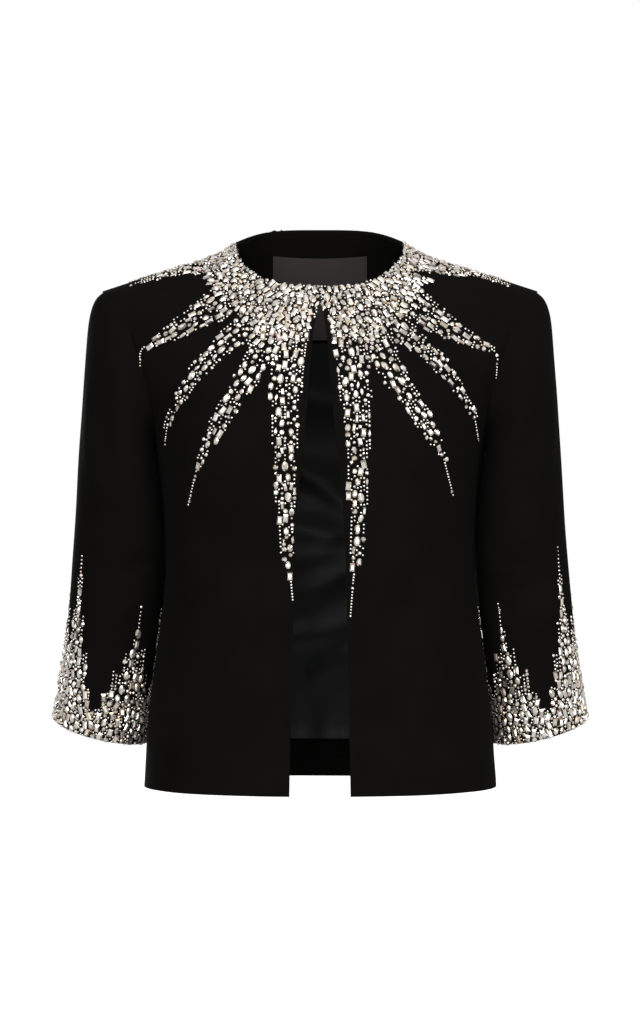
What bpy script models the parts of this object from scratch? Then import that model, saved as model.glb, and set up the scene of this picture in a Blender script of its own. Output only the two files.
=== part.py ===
"""Evening bolero jacket: collarless, open below a hooked neck, with set-in three-quarter sleeves.

The cloth keeps the hollow form that it has on a wearer. +X is the wearer's left, -Y the front and
+Z up, in metres. The origin is where the wearer holds the jacket: between the two neck points of
the shoulder seams. Each pattern piece is a wall of cloth with a hair's gap to its neighbour.
"""

import math

import bmesh
import bpy
import numpy as np

# Driving sizes of the garment
HEM_Z = -0.499
UNDERARM_Z = -0.190
SHELL = 0.0020  # crepe with its interlining
INNER_CLOTH = 0.0010  # lining, facings and label
SEAM = 0.0003  # gap between two pieces that are sewn together
EASE = 0.0010  # room that the inner pieces have on the back, and a label on its facing

# Neckline
NECK_HALF_WIDTH = 0.0765
FRONT_NECK_Z = -0.046
FRONT_NECK_SQUARENESS = 2.5
NAPE_Z = 0.0155
NAPE_FLATNESS = 4  # a higher number keeps the back neckline level for longer

# Armhole, seen from the side
SHOULDER_TIP_X = 0.200
SHOULDER_TIP_Z = -0.0445
ARMHOLE_FRONT_Y = -0.060
ARMHOLE_BACK_Y = 0.058
ARMHOLE_GAP = 0.0005  # along X, which leaves a seam's gap where the armhole slants

# Inside of the back
FACING_BOTTOM_Z = -0.090  # at the centre
ARMHOLE_EASE = 0.12  # share of a column by which the inner pieces stop short of the armhole
LINING_LIFT = 0.036  # from the hem to the lining's lower fold
LINING_FOLD_ROWS = (0.004, 0.009, 0.016)  # heights above that fold
LINING_FOLD_SWELL = 0.0018  # how much thicker the cloth is there
LINING_FOLD_HEIGHT = 0.008
HEM_FACING_HEIGHT = 0.019
LABEL_HALF_WIDTH = 0.045
LABEL_TOP_Z = -0.006
LABEL_BOTTOM_Z = -0.083

# Mesh density
LOWER_ROWS = 13
UPPER_ROWS = 12
NECK_COLUMNS = 6  # from the centre to the shoulder seam
SHOULDER_COLUMNS = 7
STEPS_PER_SLEEVE_SECTION = 2
LABEL_COLUMNS, LABEL_ROWS = 6, 8
HEM_FACING_ROWS = 3
FINE_STEPS = 400  # along a curve that is measured
SHARP_ANGLE = math.radians(50)  # edges sharper than this stay crisp

# Numerical settings
NORMAL_STEP = 1e-5  # between the two points that a slope is taken from
SETTLING_ROUNDS = 25  # until a point's height and its distance from the centre agree
HALVINGS = 50  # of the stretch in which the armhole is looked for
ARMHOLE_INSIDE_X = 0.08  # well inside the body at every height of the armhole
CORNER_ROUNDS = 10  # of evening out the cloth round a neck corner
CORNER_REACH = 0.042

# Body sections: height, half width, depth of the front and depth of the back
BODY_SECTIONS = np.array([
    (-0.499, 0.1620, 0.124, 0.114),
    (-0.440, 0.1580, 0.123, 0.111),
    (-0.400, 0.1535, 0.122, 0.108),
    (-0.360, 0.1480, 0.121, 0.104),
    (-0.320, 0.1430, 0.120, 0.100),
    (-0.285, 0.1412, 0.120, 0.098),
    (-0.255, 0.1425, 0.123, 0.102),
    (-0.224, 0.1460, 0.127, 0.108),
    (-0.190, 0.1510, 0.128, 0.112),
    (-0.155, 0.1640, 0.128, 0.112),
    (-0.120, 0.1870, 0.128, 0.112),
    (-0.070, 0.2290, 0.128, 0.112),
    (-0.030, 0.2600, 0.128, 0.112),
    (0.070, 0.2900, 0.128, 0.112),
])
SQUARENESS = {"front": 2.4, "back": 3.0}
RIDGE_ROUNDNESS = 1.2

# Ridge over the shoulder, from the nape outwards: distance from the centre, height, and the height
# that the chest and the back below it are shaped by, where the rise at the neck has faded out
RIDGE = np.array([
    (0.000, 0.0470, 0.0290),
    (0.030, 0.0420, 0.0260),
    (0.045, 0.0340, 0.0210),
    (0.060, 0.0207, 0.0138),
    (0.070, 0.0092, 0.0072),
    (0.0765, 0.0010, 0.0030),
    (0.085, -0.0055, -0.0030),
    (0.100, -0.0125, -0.0105),
    (0.140, -0.0250, -0.0245),
    (0.200, -0.0445, -0.0445),
    (0.260, -0.0650, -0.0650),
])
NECK_RISE_DEPTH = 0.055

# Front edge: height, distance from the centre
FRONT_EDGE = np.array([
    (-0.499, 0.0270),
    (-0.345, 0.0242),
    (-0.264, 0.0218),
    (-0.228, 0.0188),
    (-0.158, 0.0118),
    (-0.094, 0.0064),
    (-0.070, 0.0034),
    (-0.056, SEAM / 2),
    (-0.030, SEAM / 2),
])

# Sleeve sections from the armhole to the cuff. Each is a ring with an outer and an inner point (x, z),
# a front and a back (y), and the drop of its front below its back.
SLEEVE_SECTIONS = np.array([
    # outer x, outer z, inner x, inner z, front y, back y, front drop
    (0.2000, -0.0445, 0.1500, -0.1900, -0.0600, 0.0580, 0.0000),
    (0.2062, -0.0500, 0.1500, -0.1945, -0.0615, 0.0600, 0.0000),
    (0.2105, -0.0600, 0.1492, -0.2005, -0.0630, 0.0620, 0.0005),
    (0.2132, -0.0760, 0.1478, -0.2085, -0.0640, 0.0640, 0.0010),
    (0.2155, -0.1050, 0.1455, -0.2200, -0.0635, 0.0665, 0.0020),
    (0.2185, -0.1450, 0.1425, -0.2370, -0.0590, 0.0690, 0.0030),
    (0.2222, -0.1950, 0.1390, -0.2610, -0.0510, 0.0710, 0.0040),
    (0.2262, -0.2500, 0.1375, -0.2900, -0.0415, 0.0725, 0.0050),
    (0.2305, -0.3100, 0.1400, -0.3300, -0.0325, 0.0740, 0.0060),
    (0.2362, -0.3650, 0.1460, -0.3800, -0.0255, 0.0775, 0.0070),
    (0.2420, -0.4030, 0.1510, -0.4200, -0.0205, 0.0815, 0.0075),
    (0.2482, -0.4375, 0.1560, -0.4590, -0.0160, 0.0860, 0.0080),
])
SIDE_CLEARANCE = 0.0014  # where a sleeve lies against the body
SIDE_SOFTNESS = 0.0010
SLEEVE_HEAD_SECTIONS = 5  # the armhole's own shape has faded out at this section
SLEEVE_HEAD_FADE = 1.5

# Closure
WIRE_RADIUS = 0.00045
CLOSURE_Z = -0.0515
EYE_RADIUS = 0.0022
EYE_LENGTH = 0.007


def smooth(table, at, column=1):
    """A smooth curve through one column of a table, without overshoot between its rows."""
    known, value = table[:, 0], table[:, column]
    width = np.diff(known)
    slope = np.diff(value) / width
    tangent = np.zeros(len(known))
    tangent[0], tangent[-1] = slope[0], slope[-1]
    for i in range(1, len(known) - 1):
        if slope[i - 1] * slope[i] > 0:
            before, after = 2 * width[i] + width[i - 1], width[i] + 2 * width[i - 1]
            tangent[i] = (before + after) / (before / slope[i - 1] + after / slope[i])
    at = np.clip(at, known[0], known[-1])
    i = np.clip(np.searchsorted(known, at) - 1, 0, len(width) - 1)
    t = (at - known[i]) / width[i]
    start = value[i] * (1 + 2 * t) * (1 - t) ** 2 + tangent[i] * width[i] * t * (1 - t) ** 2
    end = value[i + 1] * t**2 * (3 - 2 * t) + tangent[i + 1] * width[i] * t**2 * (t - 1)
    return start + end


def half_width(z):
    return smooth(BODY_SECTIONS, z, 1)


def depth(face, z):
    return smooth(BODY_SECTIONS, z, 2 if face == "front" else 3)


def ridge(x):
    """Height of the shoulder line, or of the neck inside the neckline, at a distance from the centre."""
    return smooth(RIDGE, np.abs(x))


def fullness(t):
    """Square of the share of its depth that the body has, at t from the ridge (0) to the underarm (1)."""
    t = np.minimum(t, 1.0)
    a = RIDGE_ROUNDNESS
    curved = a * t + (3 - 2 * a) * t**2 + (a - 2) * t**3
    return np.where(t < 0, a * t, curved)


def below_ridge(x, z):
    """Share of the way down to the underarm, from a ridge whose rise at the neck fades with depth."""
    edge, low = ridge(x), smooth(RIDGE, np.abs(x), 2)
    top = low + (edge - low) * np.exp(-(((edge - z) / NECK_RISE_DEPTH) ** 2))
    return (top - z) / (top - UNDERARM_Z)


def outside(face, x, y, z):
    """Negative inside the body form, zero on its surface and positive outside."""
    across = 1 - (np.abs(x) / half_width(z)) ** SQUARENESS[face]
    return (y / depth(face, z)) ** 2 - across * fullness(below_ridge(x, z))


def normals(face, points):
    """Outward unit normals of the body form at points on it."""
    step = NORMAL_STEP
    x, y, z = np.moveaxis(points, -1, 0)
    found = np.stack([
        outside(face, x + step, y, z) - outside(face, x - step, y, z),
        outside(face, x, y + step, z) - outside(face, x, y - step, z),
        outside(face, x, y, z + step) - outside(face, x, y, z - step),
    ], axis=-1)
    return found / np.linalg.norm(found, axis=-1, keepdims=True)


def place(face, turn, level):
    """A point on the body form. turn runs from 0 at the centre to a quarter turn at the side.
    level is -1 at the hem, 0 at the underarm and 1 on the shoulder ridge."""
    turn, level = np.broadcast_arrays(turn, level)
    across = np.sin(turn) ** (2 / SQUARENESS[face])
    lower = UNDERARM_Z + np.minimum(level, 0) * (UNDERARM_Z - HEM_Z)
    fall = (1 - np.maximum(level, 0)) ** 2
    z = lower
    for _ in range(SETTLING_ROUNDS):
        top = ridge(across * half_width(z))
        z = np.where(level > 0, top - fall * (top - UNDERARM_Z), lower)
    x = across * half_width(z)
    full = np.sqrt(np.maximum(fullness(below_ridge(x, z)), 0))
    y = depth(face, z) * np.cos(turn) * full
    return np.stack([x, -y if face == "front" else y, z], axis=-1)


def turn_and_level(face, x, z):
    """The place() coordinates of the point of the body form at x and z."""
    turn = np.arcsin(np.minimum((np.abs(x) / half_width(z)) ** (SQUARENESS[face] / 2), 1))
    upper = 1 - np.sqrt(np.clip((ridge(x) - z) / (ridge(x) - UNDERARM_Z), 0, 1))
    lower = (z - UNDERARM_Z) / (UNDERARM_Z - HEM_Z)
    return np.stack([turn, np.where(z > UNDERARM_Z, upper, lower)], axis=-1)


def armhole(angle):
    """The armhole seam on the wearer's left. The angle is 0 at the shoulder tip, and runs down the front."""
    middle, half = (SHOULDER_TIP_Z + UNDERARM_Z) / 2, (SHOULDER_TIP_Z - UNDERARM_Z) / 2
    face = "front" if math.sin(angle) >= 0 else "back"
    reach = ARMHOLE_FRONT_Y if face == "front" else -ARMHOLE_BACK_Y
    y, z = reach * math.sin(angle), middle + half * math.cos(angle)
    low, high = ARMHOLE_INSIDE_X, float(half_width(z))
    for _ in range(HALVINGS):
        x = (low + high) / 2
        if outside(face, x, y, z) < 0:
            low = x
        else:
            high = x
    return np.array([low, y, z])


def armhole_inward(angle):
    """Direction of the seam's cut edge, towards the middle of the armhole."""
    half = (SHOULDER_TIP_Z - UNDERARM_Z) / 2
    reach = ARMHOLE_FRONT_Y if math.sin(angle) >= 0 else -ARMHOLE_BACK_Y
    found = np.array([0, -math.sin(angle) / reach, -math.cos(angle) / half])
    return found / np.linalg.norm(found)


def seam_angles(face):
    """Angles of the armhole seam's points on one face, from the side seam up to the shoulder seam."""
    reach = abs(ARMHOLE_FRONT_Y if face == "front" else ARMHOLE_BACK_Y)
    margin = math.asin(SEAM / 2 / reach)
    found = np.linspace(math.pi - margin, margin, UPPER_ROWS + 1)
    return found if face == "front" else -found


def shoulder_line(face, x):
    """place() coordinates on the shoulder seam, half a seam's gap away from the ridge."""
    z = ridge(x)
    turn = np.arcsin((x / half_width(z)) ** (SQUARENESS[face] / 2))
    reach = depth(face, z) * np.cos(turn) * math.sqrt(RIDGE_ROUNDNESS)
    return np.stack([turn, 1 - SEAM / 2 / reach], axis=-1)


def front_neckline(share):
    """place() coordinates along the front neckline, from the front edge (0) to the shoulder seam (1)."""
    angle, inner, top = share * math.pi / 2, SEAM / 2, float(ridge(NECK_HALF_WIDTH))
    x = inner + (NECK_HALF_WIDTH - inner) * np.sin(angle) ** (2 / FRONT_NECK_SQUARENESS)
    z = top + (FRONT_NECK_Z - top) * np.cos(angle) ** (2 / FRONT_NECK_SQUARENESS)
    return turn_and_level("front", x, z)


def back_neckline(share):
    """place() coordinates along the back neckline, from the centre (0) to the shoulder seam (1)."""
    across, top = np.sin(share * math.pi / 2), float(ridge(NECK_HALF_WIDTH))
    z = top + (NAPE_Z - top) * (1 - across**NAPE_FLATNESS)
    return turn_and_level("back", NECK_HALF_WIDTH * across, z)


def evenly_along(face, curve, count):
    """place() coordinates of points at equal distances along a curve on the body form."""
    share = np.linspace(0, 1, FINE_STEPS)
    along = curve(share)
    steps = np.linalg.norm(np.diff(place(face, along[:, 0], along[:, 1]), axis=0), axis=1)
    reached = np.concatenate([[0], np.cumsum(steps)])
    return curve(np.interp(np.linspace(0, reached[-1], count), reached, share))


def half_panel(face, neckline):
    """place() coordinates of half a front or back: rows from the hem up, columns from the centre out."""
    side = math.pi / 2 - SEAM / 2 / float(depth(face, UNDERARM_Z))
    across = np.linspace(0, 1, NECK_COLUMNS + SHOULDER_COLUMNS + 1)

    def edge(z):
        if face == "back":
            return turn_and_level(face, np.zeros_like(z), z)
        return turn_and_level(face, smooth(FRONT_EDGE, z), z)

    rows = []
    for z in np.linspace(HEM_Z, UNDERARM_Z, LOWER_ROWS + 1):
        start = edge(np.array(z))
        turn = start[0] + (side - start[0]) * across
        rows.append(np.stack([turn, np.full_like(turn, start[1])], axis=-1))
    lower = np.array(rows)

    seam_x = np.linspace(NECK_HALF_WIDTH, SHOULDER_TIP_X, SHOULDER_COLUMNS + 1)
    neck = evenly_along(face, neckline, NECK_COLUMNS + 1)
    top = np.concatenate([neck[:-1], shoulder_line(face, seam_x)])

    first = place(face, top[0, 0], top[0, 1])
    left = edge(np.linspace(UNDERARM_Z, first[2], UPPER_ROWS + 1))
    seam = np.array([armhole(angle) for angle in seam_angles(face)])
    right = turn_and_level(face, seam[:, 0], seam[:, 2])
    right[0], right[-1] = lower[-1, -1], top[-1]
    left[-1] = top[0]

    u = across[None, :, None]
    s = np.linspace(0, 1, UPPER_ROWS + 1)[:, None, None]
    bottom = lower[-1]
    corners = (1 - u) * (1 - s) * bottom[0] + u * (1 - s) * bottom[-1]
    corners = corners + (1 - u) * s * top[0] + u * s * top[-1]
    upper = (1 - s) * bottom + s * top + (1 - u) * left[:, None] + u * right[:, None] - corners
    return np.concatenate([lower, upper[1:]])


def evened_at_neck_corner(points):
    """Evens out a grid of points round the neck corner, where the form turns sharply. Its edges stay."""
    corner = np.array([NECK_HALF_WIDTH, 0, float(ridge(NECK_HALF_WIDTH))])
    distance = np.linalg.norm(points - corner, axis=-1, keepdims=True)
    share = np.exp(-((distance / CORNER_REACH) ** 2))[1:-1, 1:-1]
    points = points.copy()
    for _ in range(CORNER_ROUNDS):
        beside = points[1:-1, 2:] + points[1:-1, :-2]
        above_and_below = points[2:, 1:-1] + points[:-2, 1:-1]
        average = (beside + above_and_below) / 4
        points[1:-1, 1:-1] += share * (average - points[1:-1, 1:-1])
    return points


def sheet_at(face, grid, offset):
    """The points of a grid of place() coordinates, moved inwards from the body form."""
    points = place(face, grid[..., 0], grid[..., 1])
    return points - normals(face, points) * offset


def mirrored(points):
    return points * np.array([-1, 1, 1])


def material(name, colour, roughness, metallic=0.0):
    made = bpy.data.materials.new(name)
    made.use_nodes = True
    shader = made.node_tree.nodes["Principled BSDF"]
    shader.inputs["Base Color"].default_value = (*colour, 1)
    shader.inputs["Roughness"].default_value = roughness
    shader.inputs["Metallic"].default_value = metallic
    return made


def add_wall(name, outer, inner, finish, tube=False, whole=False):
    """A wall of cloth between two grids of points with the same rows and columns. A whole piece has a
    mirrored half, and its squares are cut into triangles so that the halves and both sides match."""
    rows, columns = outer.shape[:2]
    points = np.concatenate([outer.reshape(-1, 3), inner.reshape(-1, 3)])

    def index(layer, row, column):
        return layer * rows * columns + row * columns + column % columns

    across = range(columns if tube else columns - 1)
    faces = []
    for row in range(rows - 1):
        for c in across:
            a, b, d, e = (row, c), (row, c + 1), (row + 1, c + 1), (row + 1, c)
            mirror_side = whole and c < columns // 2
            for triangle in ((a, b, e), (b, d, e)) if mirror_side else ((a, b, d), (a, d, e)):
                faces.append([index(0, *corner) for corner in triangle])
                faces.append([index(1, *corner) for corner in reversed(triangle)])
    for row in (0, rows - 1):
        for c in across:
            faces.append([index(0, row, c), index(0, row, c + 1), index(1, row, c + 1), index(1, row, c)])
    if not tube:
        for c in (0, columns - 1):
            for row in range(rows - 1):
                faces.append([index(0, row, c), index(0, row + 1, c), index(1, row + 1, c), index(1, row, c)])

    mesh = bpy.data.meshes.new(name)
    mesh.from_pydata(points.tolist(), [], faces)
    shaped = bmesh.new()
    shaped.from_mesh(mesh)
    bmesh.ops.recalc_face_normals(shaped, faces=shaped.faces)
    shaped.to_mesh(mesh)
    shaped.free()
    mesh.shade_smooth()
    mesh.set_sharp_from_angle(angle=SHARP_ANGLE)
    mesh.materials.append(finish)
    made = bpy.data.objects.new(name, mesh)
    jacket.objects.link(made)
    return made


def add_whole_wall(name, outer, inner, finish):
    """A wall from its left half, with the mirrored half before the centre column."""
    whole = [np.concatenate([mirrored(half[:, :0:-1]), half], axis=1) for half in (outer, inner)]
    return add_wall(name, *whole, finish, whole=True)


def add_fronts(cloth):
    grid = half_panel("front", front_neckline)
    form = sheet_at("front", grid, 0)
    outer = evened_at_neck_corner(form)
    inner = sheet_at("front", grid, SHELL) + outer - form
    inner[:, 0, 0] = outer[:, 0, 0]  # the two front edges face each other squarely
    for row, angle in enumerate(seam_angles("front"), start=LOWER_ROWS):
        inner[row, -1] = outer[row, -1] + SHELL * armhole_inward(angle)
    add_wall("front_left", outer, inner, cloth)
    add_wall("front_right", mirrored(outer), mirrored(inner), cloth)


def add_back(cloth):
    grid = half_panel("back", back_neckline)
    outer = sheet_at("back", grid, 0)
    inner = sheet_at("back", grid, SHELL)
    for row, angle in enumerate(seam_angles("back"), start=LOWER_ROWS):
        inner[row, -1] = outer[row, -1] + SHELL * armhole_inward(angle)
    add_whole_wall("back", outer, inner, cloth)


def beside_body(points):
    """Moves points out along X until they clear the body, as cloth that lies against it."""
    x, y, z = np.moveaxis(points, -1, 0)
    z = np.minimum(z, UNDERARM_Z)
    side = np.zeros_like(x)
    for face, there in (("front", y < 0), ("back", y >= 0)):
        left_over = np.clip(1 - (y / depth(face, z)) ** 2, 0, 1)
        side = np.where(there, half_width(z) * left_over ** (1 / SQUARENESS[face]), side)
    short = side + SIDE_CLEARANCE - x
    push = SIDE_SOFTNESS * np.logaddexp(0, short / SIDE_SOFTNESS)
    return points + push[..., None] * np.array([1, 0, 0])


def sleeve_points():
    """Outer and inner points of the left sleeve, as rings from the armhole to the cuff."""
    count = 2 * UPPER_ROWS
    angles = np.linspace(0, 2 * math.pi, count, endpoint=False)
    seam = np.array([armhole(angle) for angle in angles])
    steps = (len(SLEEVE_SECTIONS) - 1) * STEPS_PER_SLEEVE_SECTION
    numbered = np.column_stack([np.arange(len(SLEEVE_SECTIONS)), SLEEVE_SECTIONS])

    def ring(position):
        outer_x, outer_z, inner_x, inner_z, front_y, back_y, drop = (
            float(smooth(numbered, position, column)) for column in range(1, 8)
        )
        middle = np.array([(outer_x + inner_x) / 2, (front_y + back_y) / 2, (outer_z + inner_z) / 2])
        up = np.array([(outer_x - inner_x) / 2, 0, (outer_z - inner_z) / 2])
        forward = np.array([0, (front_y - back_y) / 2, -drop])
        return middle + np.outer(np.cos(angles), up) + np.outer(np.sin(angles), forward)

    plain = ring(0)
    rings = []
    for step in range(steps + 1):
        position = step / STEPS_PER_SLEEVE_SECTION
        kept = max(0.0, 1 - position / SLEEVE_HEAD_SECTIONS) ** SLEEVE_HEAD_FADE
        rings.append(ring(position) + kept * (seam - plain))
    outer = np.array(rings)
    outer[1:] = beside_body(outer[1:])
    outer[..., 0] += ARMHOLE_GAP
    along = np.gradient(outer, axis=0)
    around = (np.roll(outer, -1, axis=1) - np.roll(outer, 1, axis=1)) / 2
    facing = np.cross(around, along)
    facing /= np.linalg.norm(facing, axis=-1, keepdims=True)
    axis = outer.mean(axis=1, keepdims=True)
    if ((outer - axis) * facing).sum() < 0:
        facing = -facing
    inner = outer - facing * SHELL
    inner[0] = outer[0] + SHELL * np.array([armhole_inward(angle) for angle in angles])
    return outer, inner


def add_sleeves(cloth):
    outer, inner = sleeve_points()
    add_wall("sleeve_left", outer, inner, cloth, tube=True)
    add_wall("sleeve_right", mirrored(outer), mirrored(inner), cloth, tube=True)


def facing_row():
    """Number of the back's row, and a fraction, at which the facing ends and the lining begins."""
    neck_z = place("back", *back_neckline(np.array(0.0)))[2]
    return LOWER_ROWS + UPPER_ROWS * (FACING_BOTTOM_Z - UNDERARM_Z) / (neck_z - UNDERARM_Z)


def row_at(grid, number):
    """A row of a grid, also between two of its rows."""
    whole = int(number)
    return grid[whole] + (number - whole) * (grid[whole + 1] - grid[whole])


def inner_back_grid():
    """The back's grid, ending just inside the armhole, where the back's cut edge is."""
    grid = half_panel("back", back_neckline)
    grid[LOWER_ROWS:, -1] += ARMHOLE_EASE * (grid[LOWER_ROWS:, -2] - grid[LOWER_ROWS:, -1])
    return grid


def add_back_neck_facing(cloth):
    """From the neckline and the shoulder seams down, between the armholes."""
    grid = inner_back_grid()
    edge = facing_row()
    grid = np.concatenate([[row_at(grid, edge)], grid[int(edge) + 1 :]])
    outer = sheet_at("back", grid, SHELL + EASE)
    inner = sheet_at("back", grid, SHELL + EASE + INNER_CLOTH)
    add_whole_wall("back_neck_facing", outer, inner, cloth)


def add_back_lining(satin):
    """Below the facing. Its lower edge is folded under, which makes it thicker there."""
    grid = inner_back_grid()
    row_height = (UNDERARM_Z - HEM_Z) / LOWER_ROWS
    start = LINING_LIFT / row_height
    fold = [row_at(grid, start + height / row_height) for height in (0, *LINING_FOLD_ROWS)]
    edge = facing_row()
    grid = np.concatenate([fold, grid[int(start) + 2 : int(edge) + 1], [row_at(grid, edge)]])
    grid[-1, :, 1] -= SEAM / (UNDERARM_Z - HEM_Z)
    outer = sheet_at("back", grid, SHELL + EASE)
    inner = sheet_at("back", grid, SHELL + EASE + INNER_CLOTH)
    height = outer[..., 2:] - outer[0, 0, 2]
    swell = LINING_FOLD_SWELL * np.exp(-((height / LINING_FOLD_HEIGHT) ** 2))
    inner = inner - normals("back", outer) * swell
    add_whole_wall("back_lining", outer, inner, satin)


def add_back_hem_facing(cloth):
    """The crepe that is turned up inside the hem of the back."""
    side = math.pi / 2 - SEAM / 2 / float(depth("back", HEM_Z))
    top_level = -1 + HEM_FACING_HEIGHT / (UNDERARM_Z - HEM_Z)
    columns = NECK_COLUMNS + SHOULDER_COLUMNS + 1
    levels = np.linspace(-1, top_level, HEM_FACING_ROWS)
    turn, level = np.meshgrid(np.linspace(0, side, columns), levels)
    grid = np.stack([turn, level], axis=-1)
    outer = sheet_at("back", grid, SHELL + SEAM)
    inner = sheet_at("back", grid, SHELL + SEAM + INNER_CLOTH)
    add_whole_wall("back_hem_facing", outer, inner, cloth)


def add_label(satin):
    across = np.linspace(0, LABEL_HALF_WIDTH, LABEL_COLUMNS)
    x, z = np.meshgrid(across, np.linspace(LABEL_BOTTOM_Z, LABEL_TOP_Z, LABEL_ROWS))
    grid = turn_and_level("back", x, z)
    under = SHELL + 2 * EASE + INNER_CLOTH
    outer = sheet_at("back", grid, under)
    inner = sheet_at("back", grid, under + INNER_CLOTH)
    add_whole_wall("neck_label", outer, inner, satin)


def add_wire(name, path, finish):
    curve = bpy.data.curves.new(name, "CURVE")
    curve.dimensions = "3D"
    curve.bevel_depth = WIRE_RADIUS
    curve.bevel_resolution = 2
    curve.use_fill_caps = True
    spline = curve.splines.new("POLY")
    spline.points.add(len(path) - 1)
    for point, place_at in zip(spline.points, path):
        point.co = (*place_at, 1)
    curve.materials.append(finish)
    made = bpy.data.objects.new(name, curve)
    jacket.objects.link(made)
    return made


def behind_front(x, z, lift):
    """A point inside the joined fronts, so far off their cloth."""
    found = sheet_at("front", turn_and_level("front", np.array(x), np.array(z)), SHELL + lift)
    return np.array([math.copysign(found[0], x), found[1], found[2]])


def add_closure(steel):
    """A hook on the right front and an eye on the left, behind the corners of the neckline. The eye is
    a loop whose end reaches over to the right, and the hook goes over that end and down into the loop."""
    low = SEAM + WIRE_RADIUS
    high = low + 2 * WIRE_RADIUS + SEAM
    eye = [behind_front(EYE_LENGTH, CLOSURE_Z + EYE_RADIUS, low)]
    for angle in range(90, 271, 30):
        turn = math.radians(angle)
        across, up = EYE_RADIUS * math.cos(turn), EYE_RADIUS * math.sin(turn)
        eye.append(behind_front(EYE_RADIUS / 2 + across, CLOSURE_Z + up, low))
    eye.append(behind_front(EYE_LENGTH, CLOSURE_Z - EYE_RADIUS, low))
    add_wire("eye", eye, steel)

    bend = (high - low) / 2
    hook = [(-EYE_LENGTH, low), (-2.5 * EYE_RADIUS, low), (-2 * EYE_RADIUS, high)]
    for angle in range(90, -91, -45):
        turn = math.radians(angle)
        hook.append((EYE_RADIUS / 4 + bend * math.cos(turn), low + bend + bend * math.sin(turn)))
    add_wire("hook", [behind_front(x, CLOSURE_Z, lift) for x, lift in hook], steel)


for old in list(bpy.data.objects):
    bpy.data.objects.remove(old)
jacket = bpy.data.collections.new("bolero_jacket")
bpy.context.scene.collection.children.link(jacket)

black_crepe = material("black_crepe", (0.006, 0.006, 0.006), 0.8)
black_satin = material("black_satin", (0.010, 0.010, 0.011), 0.4)
label_satin = material("label_satin", (0.022, 0.019, 0.019), 0.5)
black_steel = material("black_steel", (0.03, 0.03, 0.03), 0.35, 1.0)

add_fronts(black_crepe)
add_back(black_crepe)
add_sleeves(black_crepe)
add_back_neck_facing(black_crepe)
add_back_lining(black_satin)
add_back_hem_facing(black_crepe)
add_label(label_satin)
add_closure(black_steel)
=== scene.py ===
"""Looks of an evening bolero jacket: black crepe, and a sunburst of glass stones sewn round the neck.

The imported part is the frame, in metres: +X is the wearer's left, -Y the front and +Z up. Each pattern
piece of cloth is a finer, creased copy of its solid, and the stones are laid on that cloth along
threads, one after another, so that none overlaps its neighbour. Only bl_info and the classes follow
the form of an add-on: the file is run as a script.
"""

import math
from collections import namedtuple
from itertools import product

import bmesh
import bpy
import numpy as np
from bpy.props import FloatProperty, FloatVectorProperty, IntProperty, PointerProperty
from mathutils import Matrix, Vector, noise
from mathutils.bvhtree import BVHTree


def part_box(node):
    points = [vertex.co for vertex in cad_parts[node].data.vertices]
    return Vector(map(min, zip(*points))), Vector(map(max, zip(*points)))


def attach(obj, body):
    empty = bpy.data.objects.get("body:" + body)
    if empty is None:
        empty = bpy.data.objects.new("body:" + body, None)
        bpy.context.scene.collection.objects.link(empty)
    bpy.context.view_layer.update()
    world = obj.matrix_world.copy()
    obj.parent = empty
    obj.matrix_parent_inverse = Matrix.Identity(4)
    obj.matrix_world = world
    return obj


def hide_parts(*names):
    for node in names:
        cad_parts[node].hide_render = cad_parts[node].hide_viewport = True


bl_info = {
    "name": "Bolero jacket",
    "version": (1, 0, 0),
    "blender": (4, 5, 0),
    "location": "View3D > Sidebar > Jacket",
    "description": "Cloth, stones and finishes of an evening bolero jacket",
    "category": "Object",
}

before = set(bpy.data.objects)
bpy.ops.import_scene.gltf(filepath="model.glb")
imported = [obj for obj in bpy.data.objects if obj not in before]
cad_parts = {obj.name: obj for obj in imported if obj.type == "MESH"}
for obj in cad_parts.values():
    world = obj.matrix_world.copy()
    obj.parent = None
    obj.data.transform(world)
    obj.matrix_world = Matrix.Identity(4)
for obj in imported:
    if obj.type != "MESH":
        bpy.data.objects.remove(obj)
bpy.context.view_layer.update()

# The photograph's view
IMAGE_WIDTH, IMAGE_HEIGHT = 640, 1025
METRES_PER_PIXEL = 0.00092  # in the plane of the shoulder seams
VIEW_CENTRE_Z = -0.248
VIEW_DISTANCE = 3.0

# Neckline, as the part's pieces have it
NECK_HALF_WIDTH = 0.0765
NECK_CORNER_Z = 0.001
FRONT_NECK_Z = -0.046
FRONT_NECK_SQUARENESS = 2.5
NAPE_Z = 0.0155
NAPE_FLATNESS = 4
BURST_CENTRE_Z = -0.011  # the rays of the front fan out from here
BACK_BURST_CENTRE_Z = 0.030

# Cloth meshes
MERGE_DISTANCE = 1e-5
FLAT_ANGLE, SQUARE_ANGLE = math.radians(35), math.radians(80)  # what may still join as one square
CUT_EDGE_ANGLE = math.radians(55)
SEAM_NEAR, SEAM_TUCK = 0.0012, 0.0008  # the sleeve's seam allowance goes in under the body
SEAM_LAP, SEAM_REACH = 0.0004, 0.0030  # and the front's under the back, at the side seam
BODY_HALF_WIDTH, BODY_HALF_DEPTH = 0.160, 0.125
BODY_RADIUS, SLEEVE_RADIUS = 0.145, 0.050  # they turn an angle round a piece into a distance
SLEEVE_LEVELS, SLEEVE_SLICE = 30, 0.012  # where a sleeve's middle line is looked for

# A crease runs between two places. Turns are degrees round the piece: 0 is its front, 90 its left
# side on the body and its outer side on a sleeve. Heights are in metres and negative depths are troughs.
Crease = namedtuple("Crease", "start_turn start_z end_turn end_z half_width depth")


def creases(*rows):
    return [Crease(*row) for row in rows]


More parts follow.
